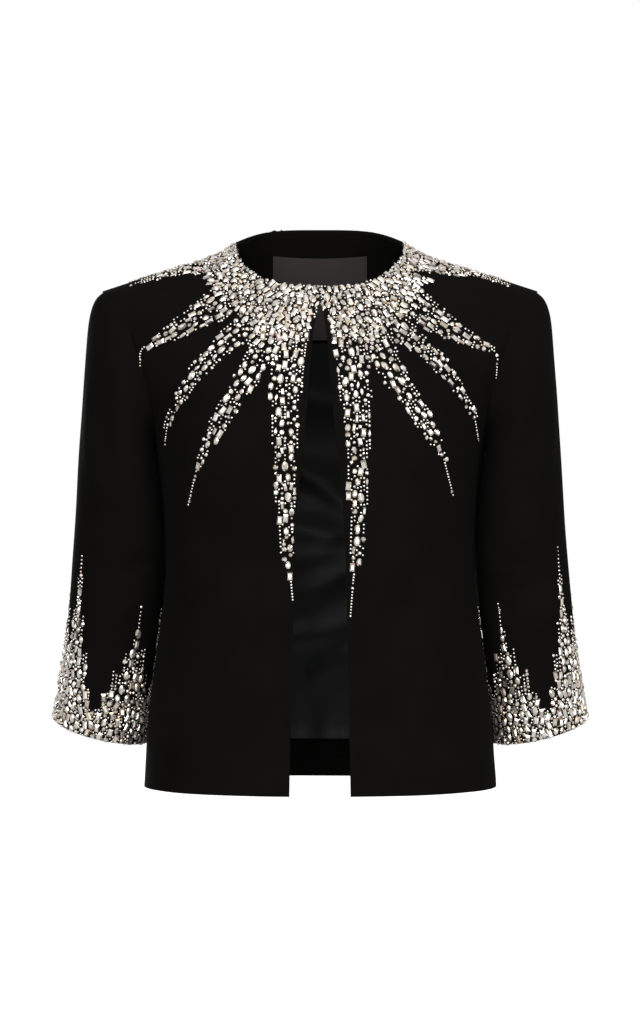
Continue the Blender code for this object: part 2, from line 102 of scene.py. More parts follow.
BODY_CREASES = creases(
    # from the armhole towards the chest and the shoulder blades
    (50, -0.105, 66, -0.185, 0.008, -0.0016),
    (42, -0.135, 60, -0.215, 0.010, 0.0014),
    (-48, -0.100, -68, -0.170, 0.007, -0.0018),
    (-38, -0.140, -57, -0.205, 0.011, 0.0012),
    (128, -0.110, 116, -0.195, 0.009, -0.0022),
    (-131, -0.115, -112, -0.180, 0.008, -0.0020),
    # soft flutes from the waist to the hem
    (33, -0.330, 37, -0.530, 0.021, 0.0020),
    (55, -0.300, 60, -0.520, 0.017, -0.0022),
    (-30, -0.350, -32, -0.530, 0.019, -0.0016),
    (-52, -0.290, -57, -0.525, 0.020, 0.0024),
    (141, -0.310, 137, -0.530, 0.019, 0.0030),
    (163, -0.330, 160, -0.520, 0.016, -0.0024),
    (-170, -0.320, -168, -0.530, 0.022, 0.0026),
    (-143, -0.300, -138, -0.520, 0.017, -0.0028),
    # drag lines at the back of the waist
    (138, -0.262, 188, -0.276, 0.008, -0.0022),
    (158, -0.292, 214, -0.287, 0.007, -0.0018),
    (172, -0.243, 222, -0.252, 0.009, 0.0016),
    # soft breaks at the front of the waist
    (24, -0.275, 58, -0.262, 0.010, -0.0013),
    (-28, -0.268, -66, -0.281, 0.009, -0.0015),
)
LINING_FOLDS = creases(
    # loose satin: each fold stands in towards the wearer
    (150, -0.165, 206, -0.128, 0.010, 0.0030),
    (158, -0.226, 212, -0.186, 0.011, 0.0042),
    (146, -0.252, 196, -0.214, 0.008, 0.0030),
    (166, -0.268, 222, -0.262, 0.010, 0.0036),
    (150, -0.300, 204, -0.330, 0.009, 0.0032),
    (158, -0.352, 216, -0.372, 0.012, 0.0044),
    (140, -0.352, 190, -0.418, 0.008, 0.0030),
    (171, -0.420, 177, -0.500, 0.009, 0.0026),
    (128, -0.300, 138, -0.480, 0.013, 0.0040),
    (-126, -0.290, -134, -0.490, 0.014, 0.0042),
    (-146, -0.390, -152, -0.490, 0.010, 0.0030),
)
# Under the label, the facing's edge is a little higher and the lining goes up behind it
LINING_RISE, LINING_RISE_FROM, LINING_RISE_TO = 0.0055, -0.130, -0.100
FACING_RISE, FACING_RISE_FROM, FACING_RISE_TO = 0.0052, -0.0835, -0.0900
FACING_RISE_NARROW, FACING_RISE_WIDE = 0.034, 0.060
LABEL_SAG = 0.0021  # its upper edge hangs a little in the middle
SLEEVE_CREASES = creases(
    # round the elbow
    (-62, -0.288, 26, -0.300, 0.0070, -0.0026),
    (-48, -0.318, 38, -0.312, 0.0060, -0.0020),
    (-70, -0.302, -8, -0.334, 0.0060, 0.0014),
    (-75, -0.345, -12, -0.338, 0.0075, -0.0022),
    (128, -0.296, 196, -0.306, 0.0080, -0.0020),
    (142, -0.326, 222, -0.318, 0.0080, -0.0024),
    # down from the armhole, front and back
    (18, -0.100, 2, -0.205, 0.0080, -0.0020),
    (38, -0.120, 26, -0.240, 0.0100, 0.0016),
    (164, -0.095, 176, -0.215, 0.0085, -0.0026),
    (148, -0.130, 160, -0.250, 0.0100, 0.0018),
    # long soft folds of the forearm
    (66, -0.300, 58, -0.440, 0.0110, -0.0016),
    (120, -0.330, 128, -0.450, 0.0110, 0.0016),
)
# Where the sleeves lie against the sides of the body
BODY_SNUG = creases(*((turn, -0.180, turn, -0.300, 0.014, 0.0018) for turn in (90, -90)))
SLEEVE_SNUG = creases((-98, -0.180, -98, -0.310, 0.022, 0.0012))
CREASE_WOBBLE, CREASE_WAVES, CREASE_PHASE = 0.004, 5.5, 1.7
CREASE_ENDS = 0.7  # how soon a crease fades towards its ends
RIGHT_SLEEVE_SHIFT = 0.006  # its creases lie lower than the left one's
UNEVEN_SCALE, UNEVEN_DEPTH = 0.075, 0.0011  # the cloth's broad unevenness
UNEVEN_FROM, UNEVEN_TO = -0.02, -0.09  # it begins below the shoulders
TOUCHING, CLEAR = 0.004, 0.036  # creases fade out where two pieces meet

# A ray of stones, as the photograph shows it on the wearer's right: places on its middle line, each with
# x, y and the ray's half width there, in pixels. On the wearer's left it is mirrored, its tip is shifted
# and its middle bowed out.
Ray = namedtuple("Ray", "places tip_shift bow", defaults=[(0, 0), (0, 0)])

FRONT_RAYS = (
    Ray(((297, 296, 11), (291, 338, 17), (287, 375, 18), (285, 410, 15), (285, 470, 11.5),
         (285.5, 516, 9), (288, 568, 6), (291, 580, 2.6), (295, 624, 1)), (5, -4)),
    Ray(((288, 305, 18), (262, 350, 16), (250, 374, 13.5), (229, 405, 10.5), (209, 442, 8.5),
         (198, 466, 3.5), (188, 509, 1)), (1, -11)),
    Ray(((275, 296, 18), (245, 328, 14), (220, 347, 11), (198, 371, 9), (182, 395, 6.5),
         (169, 418, 4), (165, 448, 1)), (3, -5)),
    Ray(((262, 281, 22), (223, 302, 17), (198, 317, 14), (168, 336, 9), (151, 343, 4.5),
         (140, 350, 1.5), (142, 384, 1)), (-3, -2), (0, 7)),
    Ray(((243, 256, 16), (222, 262, 11), (203, 267, 9), (170, 273, 5), (146, 281, 2.5),
         (128, 287, 1)), (2, 0)),
)
BACK_RAYS = (
    Ray(((320, 240, 16), (320, 300, 13), (320, 345, 6), (320, 385, 1))),
    Ray(((292, 240, 16), (272, 290, 13), (254, 335, 8), (247, 372, 1))),
    Ray(((262, 246, 18), (226, 282, 13), (196, 322, 7), (186, 356, 1))),
)
LINE_SMOOTHING = 15  # pixels
STEPPED = 12  # how unevenly the threads of a ray end, in pixels
BAND_PIXELS = 44
STEEPEST = 0.45  # threads are set closer in the view where the cloth slants away, down to this share
# The collar band: how far it goes round the neck, in degrees, and how uneven its lower edge is
FRONT_BAND_TURN, BACK_BAND_TURN, STEEPEST_TURN = 97, 128, 92
BAND_EDGE = (0.85, 1.25)
OUTSIDE, ABOVE = 0.4, 0.2  # well outside the jacket, and well above it
NECK_SAMPLES, BAND_SAMPLES = 400, 200
TOWARDS, UPWARD = 0.1, 0.5  # how far cloth has to face the viewer, or else up

# The ray along the shoulder seam: its threads run side by side, and the outer ones are shorter
SHOULDER_LENGTH = 0.128
SHOULDER_HALF_WIDTH = 0.026
SHOULDER_PITCH = 0.0056
SHOULDER_BAND = 0.012
SHOULDER_EDGE = (0.92, 1.0)
SHOULDER_WAY = math.radians(78)

# Spikes on the cuff: turn round the sleeve (0 is its front, 90 its outer side), height and half width
Spike = namedtuple("Spike", "turn height half_turn")
CUFF_SPIKES = (
    Spike(40, 0.167, 30),
    Spike(66, 0.104, 40),
    Spike(-29, 0.129, 33),
    Spike(-68, 0.128, 13),
    Spike(-118, 0.150, 32),
    Spike(172, 0.122, 32),
    Spike(104, 0.142, 30),
)
SPIKE_SHARPNESS = 1.15
SPIKE_TIP = 1.7  # half a thread's turn: the thread in the middle stands out over the others
SPIKE_FLANK = 0.80
SPIKE_STEP = 8.0  # threads of nearly one height stand side by side, in degrees
SPIKE_EDGE = (0.95, 1.03)
CUFF_SLOPE = (0.12, 0.10)  # how the sleeve leans out and forward as it goes down
CUFF_DEEP = 0.05  # the part of the sleeve whose middle is the cuff's
OUTSIDE_CUFF, CUFF_MIDDLE, CUFF_DEPTH = 0.12, 0.045, 0.08  # where the look for the cuff's edge starts
CUFF_BAND_SHARE, CUFF_BAND_MOST = 1.5, 0.9
TIP_FROM = 0.8  # where a walked thread's tip begins

# A stone's half length, half width and height over the cloth
Stone = namedtuple("Stone", "half_length half_width height")
STONES = {
    "great_oval": Stone(0.0044, 0.0029, 0.0021),
    "emerald": Stone(0.0036, 0.0022, 0.0017),
    "oval": Stone(0.0034, 0.0024, 0.0018),
    "navette": Stone(0.0034, 0.0016, 0.0015),
    "chaton": Stone(0.0024, 0.0024, 0.0018),
    "baguette": Stone(0.0031, 0.0014, 0.0014),
    "small_chaton": Stone(0.00185, 0.00185, 0.0016),
    "tiny_chaton": Stone(0.00145, 0.00145, 0.0014),
    "seed": Stone(0.00112, 0.00112, 0.0017),
    "grain": Stone(0.00080, 0.00080, 0.0013),
}
BEADS = ("seed", "grain")
# How often a kind is tried at a place on a thread, by the zone that the place is in
ZONES = ("band", "core", "edge", "tip", "spike")
CHANCES = {
    "great_oval": (0.012, 0.004, 0.000, 0.000, 0.012),
    "emerald": (0.120, 0.014, 0.003, 0.001, 0.040),
    "oval": (0.120, 0.018, 0.004, 0.002, 0.080),
    "navette": (0.060, 0.008, 0.003, 0.000, 0.030),
    "chaton": (0.350, 0.033, 0.010, 0.005, 0.120),
    "baguette": (0.300, 0.024, 0.006, 0.000, 0.040),
    "small_chaton": (1.000, 0.045, 0.016, 0.012, 0.250),
    "tiny_chaton": (1.000, 0.060, 0.030, 0.030, 0.300),
}
SPIN = dict(zip(ZONES, (0.50, 0.22, 0.12, 0.08, 0.20)))  # radians, each way
TILT, BEAD_TILT_SHARE = 0.14, 0.3
THREAD_PITCH = 0.0029
BEAD_PITCH = (0.0027, 0.0036)
RAY_TIP_PITCH = 0.0023  # the tips of the rays are strung closer than those of the spikes
SKIPPED = dict(zip(ZONES, (0.0, 0.28, 0.14, 0.0, 0.0)))  # beads left out of a string
LOOSE_BEADS = dict(zip(ZONES, (1.0, 0.0, 0.0, 0.0, 0.25)))  # beads tried beside it
WALK_STEP = 0.0009
SHARP_BEND, SLIGHT_BEND = 0.5, 0.8  # cosines of the cloth's turn that end a thread or keep a stone off
EDGE_GAP, BACK_EDGE_GAP = 0.0004, 0.0058
SEARCHED = 0.009  # how far below the neckline the first stone is looked for
STONE_GAP = 0.00005
NEARLY_ROUND = 1.25  # a stone no longer than this for its width takes the room of one disc
CLOTH_NEAR = 0.0009  # each end of a stone has cloth this near
FACING = 0.35
HASH_CELL = 0.0085
EDGE_SHARE, TIP_HALF_WIDTH = 0.72, 3.4  # where a ray's edge begins, and how narrow its tip is, in pixels
# The width of the sloping facets of a cut stone and the height of its table over its girdle
CUTS = {"emerald": (0.48, 0.56), "baguette": (0.42, 0.56)}
ROUND_CUT = (0.46, 0.60)
BEAD_BLANK, SQUARE_BLANK, ROUND_BLANK = 0.5, 0.22, 0.2  # half the height of what a stone is made from
NAVETTE_POINT = 0.55


def linear(hex_colour):
    """An sRGB hex colour as the linear red, green, blue and alpha that Blender works in."""
    parts = [int(hex_colour[i : i + 2], 16) / 255 for i in (1, 3, 5)]
    found = [c / 12.92 if c <= 0.04045 else ((c + 0.055) / 1.055) ** 2.4 for c in parts]
    return (*found, 1.0)


# Light and shade painted into a stone's colour: the painted brightness of any facet, the painted highlight
# that whitens the flat table on top, the painted shade that darkens the upright girdle, and a bead's painted
# brightness
PAINTED_FACET_LIGHT, PAINTED_BEAD_LIGHT = (0.60, 1.0), (0.55, 1.0)
PAINTED_TABLE_HIGHLIGHT, PAINTED_GIRDLE_SHADE = 0.60, 0.30
FLAT, UPRIGHT = 0.95, 0.1  # how far a table and a girdle lean up

# Tints painted into a facet's colour, with how often: painted reflections of the pale room and painted
# reflections and shade of the dark cloth below, besides the warm tints of the foiled glass itself
PAINTED_REFLECTION_TINTS = {"#FFF9EF": 52, "#F2E2CB": 18, "#C4AC8C": 9, "#E6C5B4": 6, "#8F857B": 9, "#463F39": 6}
LINING_GLOSS, LABEL_GLOSS, LABEL_RIB = 0.40, 0.45, 1.6
WHITE = (1, 1, 1, 1)
COLOUR = {"subtype": "COLOR", "size": 4, "min": 0, "max": 1}


class JacketCloth(bpy.types.PropertyGroup):
    """Sizes and colours of the cloth."""

    levels: IntProperty(
        name="Fineness", description="Rounds of subdivision of each cloth piece", default=2, min=1, max=3
    )
    crepe: FloatVectorProperty(
        name="Crepe", description="Colour of the black crepe", default=linear("#0E0D0C"), **COLOUR
    )
    lining: FloatVectorProperty(
        name="Lining", description="Colour of the satin lining", default=linear("#121313"), **COLOUR
    )
    label: FloatVectorProperty(
        name="Label", description="Colour of the blank satin label", default=linear("#3A3535"), **COLOUR
    )
    crepe_grain: FloatProperty(
        name="Crepe grain", description="Spacing of the crepe's pebbles, drawn coarser than the real 0.4 mm",
        default=0.0011, subtype="DISTANCE",
    )
    satin_rib: FloatProperty(
        name="Satin floats", description="Spacing of the satin's floats, drawn coarser than the real 0.1 mm",
        default=0.0007, subtype="DISTANCE",
    )
    crease_depth: FloatProperty(
        name="Creases", description="Depth of all creases, as a share of their own", default=1.0, min=0, max=2
    )


class JacketStones(bpy.types.PropertyGroup):
    """Sizes of the sewn-on stones."""

    seed: IntProperty(name="Seed", description="Another arrangement of the stones", default=7)
    band: FloatProperty(
        name="Collar band", description="Depth of the band round the neck", default=0.034, subtype="DISTANCE"
    )
    cuff_band: FloatProperty(
        name="Cuff band", description="Depth of the band round the cuff", default=0.027, subtype="DISTANCE"
    )


class JacketStage(bpy.types.PropertyGroup):
    """Camera distance and the levels of the studio light."""

    distance: FloatProperty(
        name="Camera distance", description="From the shoulder seams", default=VIEW_DISTANCE,
        subtype="DISTANCE",
    )
    floor_z: FloatProperty(
        name="Floor height", description="Well below the hem", default=-1.05, subtype="DISTANCE"
    )
    key: FloatProperty(name="Key", description="Main softbox, in watts", default=76.0, unit="POWER")
    fill: FloatProperty(name="Fill", description="Second softbox, in watts", default=42.0, unit="POWER")
    top: FloatProperty(name="Top", description="Overhead softbox, in watts", default=5.0, unit="POWER")
    back: FloatProperty(name="Back", description="Softbox behind, in watts", default=36.0, unit="POWER")
    room: FloatProperty(name="Room", description="Brightness of the room", default=0.15, min=0, max=2)
    glint: FloatProperty(
        name="Glint", description="Brightness of the room where stones mirror it", default=0.62, min=0, max=5
    )


def deselect_all():
    if bpy.context.mode != "OBJECT":
        bpy.ops.object.mode_set(mode="OBJECT")
    bpy.ops.object.select_all(action="DESELECT")


def make_active(piece):
    deselect_all()
    bpy.context.view_layer.objects.active = piece
    piece.select_set(True)


def add_node(tree, kind, values=None, links=None, **settings):
    """Adds a node with its settings, the values of its sockets and the sockets that feed it."""
    node = tree.nodes.new(kind)
    for name, value in settings.items():
        setattr(node, name, value)
    for socket, value in (values or {}).items():
        node.inputs[socket].default_value = value
    for socket, source in (links or {}).items():
        tree.links.new(source, node.inputs[socket])
    return node


def new_material(name, **values):
    """A material with a Principled shader whose sockets have these constant values."""
    made = bpy.data.materials.new(name)
    made.use_nodes = True
    shader = made.node_tree.nodes["Principled BSDF"]
    for socket, value in values.items():
        shader.inputs[socket.replace("_", " ")].default_value = value
    return made, made.node_tree, shader


def coordinates(tree):
    return add_node(tree, "ShaderNodeTexCoord").outputs["Object"]


def noise_value(tree, place, scale, detail, roughness=0.5):
    values = {"Scale": scale, "Detail": detail, "Roughness": roughness}
    return add_node(tree, "ShaderNodeTexNoise", values, {"Vector": place}).outputs["Fac"]


def add_bump(tree, shader, height, strength, distance):
    bump = add_node(tree, "ShaderNodeBump", {"Strength": strength, "Distance": distance}, {"Height": height})
    tree.links.new(bump.outputs["Normal"], shader.inputs["Normal"])


def vary_roughness(tree, shader, value, low, high):
    rough = add_node(tree, "ShaderNodeMapRange", {"To Min": low, "To Max": high}, {"Value": value})
    tree.links.new(rough.outputs["Result"], shader.inputs["Roughness"])


def crepe_material(cloth):
    """Polyester crepe, woven from high-twist yarn: a fine pebbled, nearly lightless black."""
    made, tree, shader = new_material(
        "pebbled_crepe", Base_Color=cloth.crepe, Roughness=0.95, Specular_IOR_Level=0.02,
        Sheen_Weight=0.004, Sheen_Roughness=0.5,
    )
    place = coordinates(tree)
    low, high = ((*(share * part for part in cloth.crepe[:3]), 1.0) for share in (0.72, 1.35))
    tone = add_node(  # 6 and 7 are the sockets A and B of the colour kind
        tree, "ShaderNodeMix", {6: low, 7: high}, {"Factor": noise_value(tree, place, 22.0, 3.0)},
        data_type="RGBA",
    )
    tree.links.new(tone.outputs[2], shader.inputs["Base Color"])
    pebble = add_node(
        tree, "ShaderNodeTexVoronoi", {"Scale": 1 / cloth.crepe_grain}, {"Vector": place}, feature="SMOOTH_F1"
    )
    grain = noise_value(tree, place, 0.5 / cloth.crepe_grain, 4.0, 0.6)
    mixed = add_node(tree, "ShaderNodeMath", links={0: pebble.outputs["Distance"], 1: grain}, operation="ADD")
    add_bump(tree, shader, mixed.outputs[0], 0.35, 0.00012)
    return made


def satin_material(name, colour, rib, gloss):
    """Acetate satin: long floats lie side by side, so it shines along soft folds."""
    made, tree, shader = new_material(
        name, Base_Color=colour, Roughness=gloss, Specular_IOR_Level=0.16, Sheen_Weight=0.03,
        Sheen_Roughness=0.3,
    )
    place = coordinates(tree)
    stretched = add_node(tree, "ShaderNodeMapping", {"Scale": (1.0, 1.0, 0.12)}, {"Vector": place})
    floats = noise_value(tree, stretched.outputs["Vector"], 1 / rib, 3.0, 0.55)
    add_bump(tree, shader, floats, 0.25, 0.00008)
    vary_roughness(tree, shader, noise_value(tree, place, 30.0, 2.0), gloss - 0.05, gloss + 0.07)
    return made


def crystal_material():
    """Foil-backed cut glass: each facet mirrors another part of the room, and its colour carries painted
    reflection, painted highlight and painted shade, so neighbours differ.
    """
    made, tree, shader = new_material(
        "foiled_crystal", Metallic=0.78, Roughness=0.16, IOR=1.55, Coat_Weight=0.6, Coat_Roughness=0.03,
    )
    # each facet's colour is painted light: painted reflection, a painted highlight on tables and painted
    # shade on girdles
    painted_facet_reflection = add_node(tree, "ShaderNodeAttribute", attribute_name="painted_facet_reflection", attribute_type="GEOMETRY")
    tree.links.new(painted_facet_reflection.outputs["Color"], shader.inputs["Base Color"])
    vary_roughness(tree, shader, noise_value(tree, coordinates(tree), 900.0, 1.0), 0.08, 0.26)
    return made


def steel_material():
    """Black-oxidised steel wire, drawn and lacquered: dark, with a narrow highlight."""
    made, tree, shader = new_material("black_oxide_steel", Metallic=1.0, Roughness=0.35)
    worn = noise_value(tree, coordinates(tree), 1500.0, 2.0)
    tone = add_node(tree, "ShaderNodeValToRGB", links={"Fac": worn})
    for stop, tint in zip(tone.color_ramp.elements, ("#1A1A1B", "#4A4A4C")):
        stop.color = linear(tint)
    tree.links.new(tone.outputs["Color"], shader.inputs["Base Color"])
    return made


def points_of(piece):
    found = np.empty(len(piece.data.vertices) * 3)
    piece.data.vertices.foreach_get("co", found)
    return found.reshape(-1, 3)


def middle_of(points):
    return (points.min(axis=0) + points.max(axis=0)) / 2


def set_points(piece, points):
    piece.data.vertices.foreach_set("co", points.ravel())
    piece.data.update()


def copy_of(node, name):
    """A bare copy of a solid under a name of its own."""
    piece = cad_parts[node].copy()
    piece.data = piece.data.copy()
    piece.parent = None
    for key in list(piece.keys()):
        del piece[key]
    piece.name = piece.data.name = name
    bpy.context.scene.collection.objects.link(piece)
    piece.data.materials.clear()
    return piece


def finer_cloth(node, name, levels):
    """A smooth, finer copy of a solid. Doubles are merged, squares are restored and cut edges stay
    crisp, so that neighbours still meet at their seams."""
    piece = copy_of(node, name)
    make_active(piece)
    bpy.ops.mesh.customdata_custom_splitnormals_clear()
    bpy.ops.object.mode_set(mode="EDIT")
    bpy.ops.mesh.select_all(action="SELECT")
    bpy.ops.mesh.remove_doubles(threshold=MERGE_DISTANCE)
    bpy.ops.mesh.tris_convert_to_quads(face_threshold=FLAT_ANGLE, shape_threshold=SQUARE_ANGLE)
    bpy.ops.object.mode_set(mode="OBJECT")

    shaped = bmesh.new()
    shaped.from_mesh(piece.data)
    crease = shaped.edges.layers.float.get("crease_edge") or shaped.edges.layers.float.new("crease_edge")
    for edge in shaped.edges:
        if len(edge.link_faces) == 2 and edge.calc_face_angle(0) > CUT_EDGE_ANGLE:
            edge[crease] = 1.0
    shaped.to_mesh(piece.data)
    shaped.free()

    finer = piece.modifiers.new("finer", "SUBSURF")
    finer.levels = finer.render_levels = levels
    bpy.ops.object.modifier_apply(modifier=finer.name)
    bpy.ops.object.shade_smooth_by_angle(angle=CUT_EDGE_ANGLE)
    return piece


def smoothstep(low, high, value):
    t = np.clip((value - low) / (high - low), 0, 1)
    return t * t * (3 - 2 * t)


def tree_of(pieces):
    """A search tree of these pieces' faces, with the piece that each face belongs to."""
    points, faces, owners = [], [], []
    for piece in pieces:
        start = len(points)
        points += [tuple(point) for point in points_of(piece)]
        faces += [[start + corner for corner in face.vertices] for face in piece.data.polygons]
        owners += [piece.name] * len(piece.data.polygons)
    return BVHTree.FromPolygons(points, faces), owners


def fading_near(points, nodes):
    """0 where points touch these CAD nodes and 1 where they are well clear of them."""
    tree, _ = tree_of([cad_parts[node] for node in nodes])
    far = [min(tree.find_nearest(Vector(point), CLEAR)[3] or CLEAR, CLEAR) for point in points]
    return smoothstep(TOUCHING, CLEAR, np.array(far))


def height_of(folds, turn, height, radius):
    """How far a set of creases moves points out, by their turn and height."""
    total = np.zeros_like(turn)
    for number, crease in enumerate(folds):
        start, end = math.radians(crease.start_turn), math.radians(crease.end_turn)
        across = radius * ((turn - start + math.pi) % (2 * math.pi) - math.pi)
        line = np.array([radius * (end - start), crease.end_z - crease.start_z])
        long = np.linalg.norm(line)
        t = np.clip((across * line[0] + (height - crease.start_z) * line[1]) / long**2, 0, 1)
        off = (across * line[1] - (height - crease.start_z) * line[0]) / long
        off = off + CREASE_WOBBLE * np.sin(CREASE_WAVES * t + CREASE_PHASE * number)
        faded = (4 * t * (1 - t)) ** CREASE_ENDS
        total += crease.depth * faded * np.exp(-((off / crease.half_width) ** 2))
    return total


def unevenness(points):
    """A broad, low unevenness, the same for all pieces at one place."""
    found = [noise.noise(Vector(point) / UNEVEN_SCALE) for point in points]
    return UNEVEN_DEPTH * np.array(found)


def level_ways(x, y):
    """Level directions of length 1."""
    ways = np.stack([x, y, np.zeros_like(x)], axis=1)
    return ways / np.maximum(np.linalg.norm(ways, axis=1, keepdims=True), 1e-9)


def body_out(points):
    """Level directions out of the body, and the turn round it."""
    x, y, _ = points.T
    return level_ways(x / BODY_HALF_WIDTH**2, y / BODY_HALF_DEPTH**2), np.arctan2(x, -y)


def crease_body(piece, depth):
    """Moves a piece of the body out and in, the same for cloth and lining at one place."""
    points = points_of(piece)
    out, turn = body_out(points)
    moved = height_of(BODY_CREASES, turn, points[:, 2], BODY_RADIUS)
    moved += unevenness(points) * smoothstep(UNEVEN_FROM, UNEVEN_TO, points[:, 2])
    moved *= depth * fading_near(points, ["sleeve_left", "sleeve_right"])
    moved += height_of(BODY_SNUG, turn, points[:, 2], BODY_RADIUS)
    if piece.name.startswith("front"):  # its seam allowance meets the back
        points[:, 1] += SEAM_LAP * smoothstep(-SEAM_REACH, -SEAM_LAP, points[:, 1])
    set_points(piece, points + out * moved[:, None])


def crease_lining(piece, depth):
    """The lining has folds of its own, and goes up behind the label."""
    crease_body(piece, depth)
    points = points_of(piece)
    out, turn = body_out(points)
    points -= out * (depth * height_of(LINING_FOLDS, turn, points[:, 2], BODY_RADIUS))[:, None]
    points[:, 2] += LINING_RISE * smoothstep(LINING_RISE_FROM, LINING_RISE_TO, points[:, 2])
    set_points(piece, points)


def crease_facing(piece, depth):
    """The facing's edge is a little higher under the label."""
    crease_body(piece, depth)
    points = points_of(piece)
    under = 1 - smoothstep(FACING_RISE_NARROW, FACING_RISE_WIDE, np.abs(points[:, 0]))
    raised = smoothstep(-FACING_RISE_FROM, -FACING_RISE_TO, -points[:, 2])
    points[:, 2] += FACING_RISE * under * raised
    set_points(piece, points)


def crease_label(piece, depth):
    """The label's upper edge sags in the middle."""
    crease_body(piece, depth)
    points = points_of(piece)
    low, high = points.min(axis=0), points.max(axis=0)
    sag = LABEL_SAG * (1 - (points[:, 0] / high[0]) ** 2) * (points[:, 2] - low[2]) / (high[2] - low[2])
    slope = (high[1] - low[1]) / (high[2] - low[2])
    set_points(piece, points + sag[:, None] * np.array((0, slope, -1)))


def sleeve_turn(points, side):
    """Level directions out of a sleeve's middle line, and the turn round it."""
    levels = np.linspace(points[:, 2].min(), points[:, 2].max(), SLEEVE_LEVELS)
    slices = [points[np.abs(points[:, 2] - level) < SLEEVE_SLICE] for level in levels]
    middles = np.array([middle_of(near) for near in slices])
    x, y = (points[:, axis] - np.interp(points[:, 2], levels, middles[:, axis]) for axis in (0, 1))
    out = level_ways(x, y)
    return out, np.arctan2(side * out[:, 0], -out[:, 1])


def crease_sleeve(piece, depth):
    side = 1 if "left" in piece.name else -1
    points = points_of(piece)
    out, turn = sleeve_turn(points, side)
    height = points[:, 2] + (RIGHT_SLEEVE_SHIFT if side < 0 else 0.0)
    moved = height_of(SLEEVE_CREASES, turn, height, SLEEVE_RADIUS) + unevenness(points)
    body = ["back", "front_left", "front_right"]
    moved *= depth * fading_near(points, body)
    moved += height_of(SLEEVE_SNUG, turn, points[:, 2], SLEEVE_RADIUS)
    tree, _ = tree_of([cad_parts[node] for node in body])
    at_seam = np.array([tree.find_nearest(Vector(point), SEAM_NEAR)[0] is not None for point in points])
    points = points + out * moved[:, None]
    points[:, 0] -= side * SEAM_TUCK * at_seam
    set_points(piece, points)


def finish_piece(piece, node, finish):
    piece.data.materials.append(finish)
    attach(piece, "root")
    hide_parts(node)


def dress(context, node, name, slot, finish, shape):
    """Makes one piece of cloth: its solid, finer, shaped and finished."""
    cloth = context.scene.jacket_cloth
    piece = finer_cloth(node, name, cloth.levels)
    shape(piece, cloth.crease_depth)
    finish_piece(piece, node, finish)


def stone_shape(name):
    """One cut stone or bead of unit size, lying on its back: its points, its faces and how far each
    face leans up. Its outline is 1 in every direction, and its height is 1."""
    deselect_all()
    if name in BEADS:
        thick = BEAD_BLANK
        bpy.ops.mesh.primitive_uv_sphere_add(segments=6, ring_count=4 if name == "seed" else 3, radius=1)
    elif name in CUTS:
        thick = SQUARE_BLANK
        bpy.ops.mesh.primitive_cube_add(size=2)
    else:
        thick = ROUND_BLANK
        bpy.ops.mesh.primitive_cylinder_add(vertices=8 if "chaton" in name else 10, radius=1, depth=2)
    made = bpy.context.object
    bpy.ops.object.mode_set(mode="EDIT")
    bpy.ops.transform.resize(value=(1, 1, thick))
    bpy.ops.transform.translate(value=(0, 0, thick))
    if name not in BEADS:
        raise_table(made, *CUTS.get(name, ROUND_CUT))
    bpy.ops.object.mode_set(mode="OBJECT")
    points = points_of(made)
    if name == "navette":
        points[:, 0] *= 1 - NAVETTE_POINT * np.abs(points[:, 1]) ** 2
    faces = [tuple(face.vertices) for face in made.data.polygons]
    lean = np.array([face.normal.z for face in made.data.polygons])
    bpy.data.objects.remove(made)
    return points, faces, lean


def raise_table(made, inset, rise):
    """Cuts sloping facets round the top of a blank, in edit mode."""
    bpy.ops.mesh.select_mode(type="FACE")
    bpy.ops.mesh.select_all(action="DESELECT")
    shaped = bmesh.from_edit_mesh(made.data)
    for face in shaped.faces:
        face.select_set(face.normal.z > FLAT)
    bmesh.update_edit_mesh(made.data)
    bpy.ops.mesh.inset(thickness=inset, depth=0)
    bpy.ops.transform.translate(value=(0, 0, rise))


# A place on a thread: the point, the cloth's normal, the thread's way, the piece and the zone
Spot = namedtuple("Spot", "place normal way owner zone")


